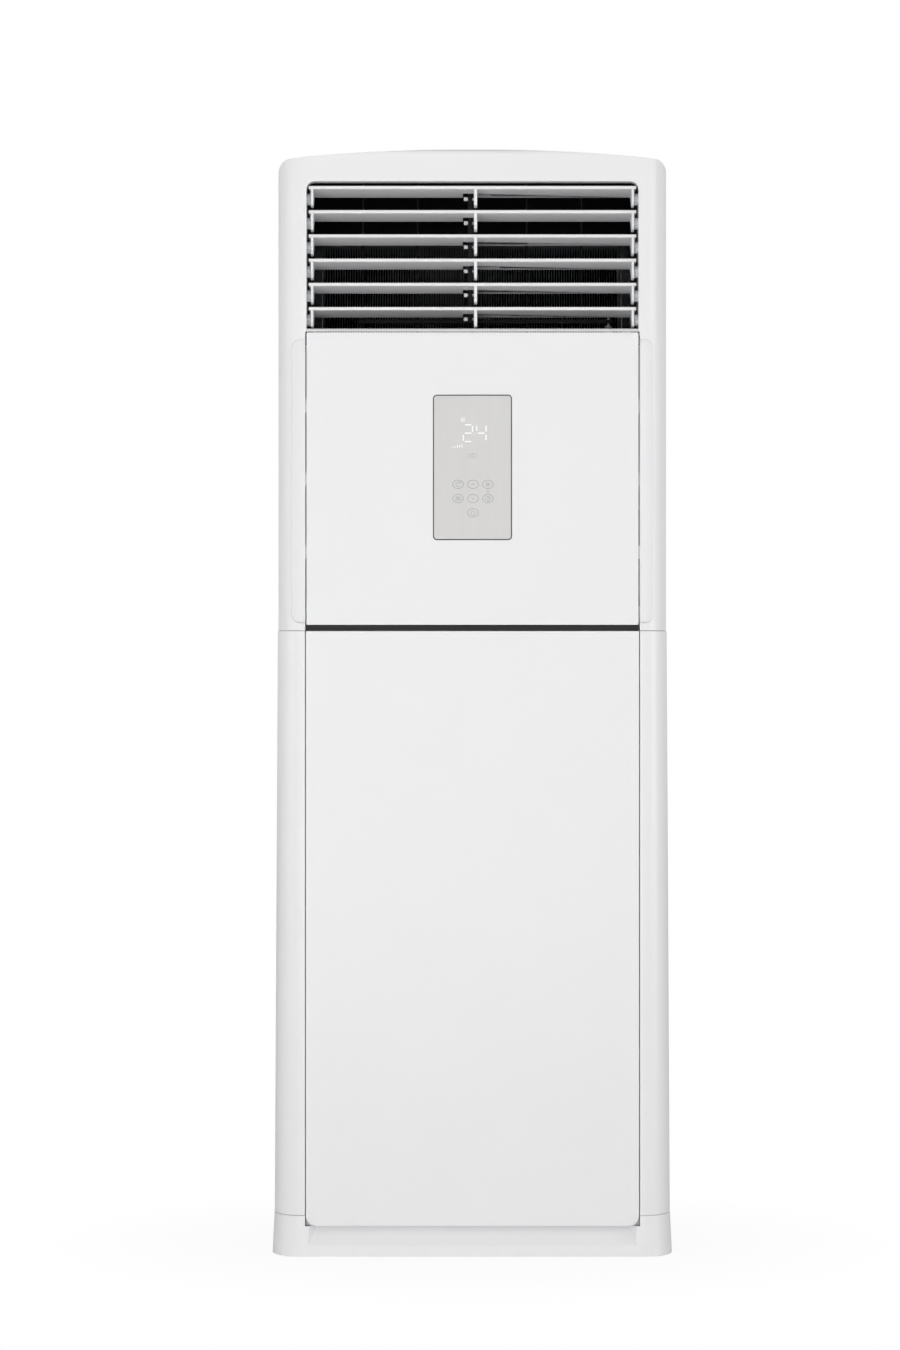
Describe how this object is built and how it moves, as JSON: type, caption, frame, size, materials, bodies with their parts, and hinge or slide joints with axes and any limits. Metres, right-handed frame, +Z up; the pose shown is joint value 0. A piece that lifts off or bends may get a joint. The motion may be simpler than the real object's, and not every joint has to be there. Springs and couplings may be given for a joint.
{
  "type": "floor standing air conditioner",
  "caption": "Tall floor standing air conditioner cabinet with ganged louvre vanes, control panel, pull-off door and side intakes.",
  "frame": {"origin": "on the floor under the middle of the cabinet, at the bottom centre of its bounding box", "axes": "+Z up, -Y towards the viewer of the front, +X to the viewer's right"},
  "size_m": [0.618, 0.38, 1.7],
  "materials": {
    "white_plastic": "fine satin moulded ABS",
    "white_steel": "powder coated sheet",
    "pale_plastic": "moulded ABS",
    "black_plastic": "moulded ABS",
    "gloss_black": "polished",
    "silver_plate": "fine brushed",
    "zinc_steel": "galvanised",
    "aluminium": "mill finish",
    "copper": "drawn tube",
    "foam": "expanded foam",
    "grey_nylon": "moulded",
    "rubber": "moulded"
  },
  "bodies": {
    "cabinet": {"upper_front_frame": "white_plastic", "top_cover": "white_plastic", "control_panel": "white_plastic", "base_skirt": "white_plastic", "back_panel": "white_steel", "cable_grommet": "rubber", "display_window": "silver_plate", "trim_strip": "gloss_black", "base_pan": "zinc_steel", "swing_motor": "zinc_steel", "fan_motor": "zinc_steel", "motor_bracket": "zinc_steel", "partition_plate": "zinc_steel", "electric_box": "zinc_steel", "electric_box_lid": "zinc_steel", "upper_side_panel_left": "white_steel", "lower_side_panel_left": "white_steel", "lower_column_left": "white_plastic", "levelling_foot_front_left": "rubber", "levelling_foot_rear_left": "rubber", "louvre_frame_left": "pale_plastic", "tube_sheet_left": "zinc_steel", "upper_side_panel_right": "white_steel", "lower_side_panel_right": "white_steel", "lower_column_right": "white_plastic", "levelling_foot_front_right": "rubber", "levelling_foot_rear_right": "rubber", "louvre_frame_right": "pale_plastic", "tube_sheet_right": "zinc_steel", "outlet_duct": "black_plastic", "terminal_block": "black_plastic", "fan_scroll": "pale_plastic", "inlet_ring": "pale_plastic", "evaporator_coil": "aluminium", "drain_tray": "foam", "suction_pipe": "copper", "liquid_pipe": "copper"},
    "vane_1": {"horizontal_vane_1": "white_plastic"},
    "vane_2": {"horizontal_vane_2": "white_plastic"},
    "vane_3": {"horizontal_vane_3": "white_plastic"},
    "vane_4": {"horizontal_vane_4": "white_plastic"},
    "vane_5": {"horizontal_vane_5": "white_plastic"},
    "vane_6": {"horizontal_vane_6": "white_plastic"},
    "vane_link": {"vane_link_bar": "black_plastic"},
    "finger_1": {"vertical_vane_1": "black_plastic"},
    "finger_2": {"vertical_vane_2": "black_plastic"},
    "finger_3": {"vertical_vane_3": "black_plastic"},
    "finger_4": {"vertical_vane_4": "black_plastic"},
    "finger_5": {"vertical_vane_5": "black_plastic"},
    "swing_link": {"swing_link_bar": "black_plastic"},
    "crank": {"swing_crank": "pale_plastic"},
    "fan": {"fan_wheel": "grey_nylon", "motor_shaft": "zinc_steel", "hub_nut": "zinc_steel"},
    "door": {"front_door": "white_plastic"},
    "intake_left": {"intake_grille_left": "white_plastic", "air_filter_left": "grey_nylon"},
    "intake_right": {"intake_grille_right": "white_plastic", "air_filter_right": "grey_nylon"}
  },
  "joints": [
    {"name": "vane_1_tilt", "type": "hinge", "parent": "cabinet", "child": "vane_1", "pos_m": [0, -0.16, 1.6252], "axis": [1, 0, 0], "range_deg": [-10, 30]},
    {"name": "vane_2_tilt", "type": "hinge", "parent": "cabinet", "child": "vane_2", "pos_m": [0, -0.16, 1.588], "axis": [1, 0, 0], "range_deg": [-10, 30]},
    {"name": "vane_3_tilt", "type": "hinge", "parent": "cabinet", "child": "vane_3", "pos_m": [0, -0.16, 1.5508], "axis": [1, 0, 0], "range_deg": [-10, 30]},
    {"name": "vane_4_tilt", "type": "hinge", "parent": "cabinet", "child": "vane_4", "pos_m": [0, -0.16, 1.5136], "axis": [1, 0, 0], "range_deg": [-10, 30]},
    {"name": "vane_5_tilt", "type": "hinge", "parent": "cabinet", "child": "vane_5", "pos_m": [0, -0.16, 1.4764], "axis": [1, 0, 0], "range_deg": [-10, 30]},
    {"name": "vane_6_tilt", "type": "hinge", "parent": "cabinet", "child": "vane_6", "pos_m": [0, -0.16, 1.4392], "axis": [1, 0, 0], "range_deg": [-10, 30]},
    {"name": "vane_link_pivot", "type": "hinge", "parent": "vane_1", "child": "vane_link", "pos_m": [0, -0.12216, 1.63005], "axis": [1, 0, 0], "range_deg": [-30, 10]},
    {"name": "finger_1_swing", "type": "hinge", "parent": "cabinet", "child": "finger_1", "pos_m": [-0.17, -0.061, 1.416], "axis": [0, 0, 1], "range_deg": [-35, 35]},
    {"name": "finger_2_swing", "type": "hinge", "parent": "cabinet", "child": "finger_2", "pos_m": [-0.085, -0.061, 1.416], "axis": [0, 0, 1], "range_deg": [-35, 35]},
    {"name": "finger_3_swing", "type": "hinge", "parent": "cabinet", "child": "finger_3", "pos_m": [0, -0.061, 1.416], "axis": [0, 0, 1], "range_deg": [-35, 35]},
    {"name": "finger_4_swing", "type": "hinge", "parent": "cabinet", "child": "finger_4", "pos_m": [0.085, -0.061, 1.416], "axis": [0, 0, 1], "range_deg": [-35, 35]},
    {"name": "finger_5_swing", "type": "hinge", "parent": "cabinet", "child": "finger_5", "pos_m": [0.17, -0.061, 1.416], "axis": [0, 0, 1], "range_deg": [-35, 35]},
    {"name": "swing_link_pivot", "type": "hinge", "parent": "finger_1", "child": "swing_link", "pos_m": [-0.17, -0.09, 1.44], "axis": [0, 0, 1], "range_deg": [-35, 35]},
    {"name": "crank_turn", "type": "hinge", "parent": "cabinet", "child": "crank", "pos_m": [0.212, -0.061, 1.416], "axis": [0, 0, 1], "range_deg": [-35, 35]},
    {"name": "fan_turn", "type": "hinge", "parent": "cabinet", "child": "fan", "pos_m": [0, 0.0105, 0.43], "axis": [0, 1, 0], "continuous": true},
    {"name": "door_pull", "type": "slide", "parent": "cabinet", "child": "door", "axis": [0, -1, 0], "range_m": [0, 0.12]},
    {"name": "intake_left_pull", "type": "slide", "parent": "cabinet", "child": "intake_left", "axis": [-1, 0, 0], "range_m": [0, 0.06]},
    {"name": "intake_right_pull", "type": "slide", "parent": "cabinet", "child": "intake_right", "axis": [1, 0, 0], "range_m": [0, 0.06]}
  ],
  "couplings": [
    {"joint": "vane_2_tilt", "follows": "vane_1_tilt", "ratio": 1},
    {"joint": "vane_3_tilt", "follows": "vane_1_tilt", "ratio": 1},
    {"joint": "vane_4_tilt", "follows": "vane_1_tilt", "ratio": 1},
    {"joint": "vane_5_tilt", "follows": "vane_1_tilt", "ratio": 1},
    {"joint": "vane_6_tilt", "follows": "vane_1_tilt", "ratio": 1},
    {"joint": "vane_link_pivot", "follows": "vane_1_tilt", "ratio": -1},
    {"joint": "finger_2_swing", "follows": "finger_1_swing", "ratio": 1},
    {"joint": "finger_3_swing", "follows": "finger_1_swing", "ratio": 1},
    {"joint": "finger_4_swing", "follows": "finger_1_swing", "ratio": 1},
    {"joint": "finger_5_swing", "follows": "finger_1_swing", "ratio": 1},
    {"joint": "swing_link_pivot", "follows": "finger_1_swing", "ratio": -1},
    {"joint": "crank_turn", "follows": "finger_1_swing", "ratio": 1}
  ]
}
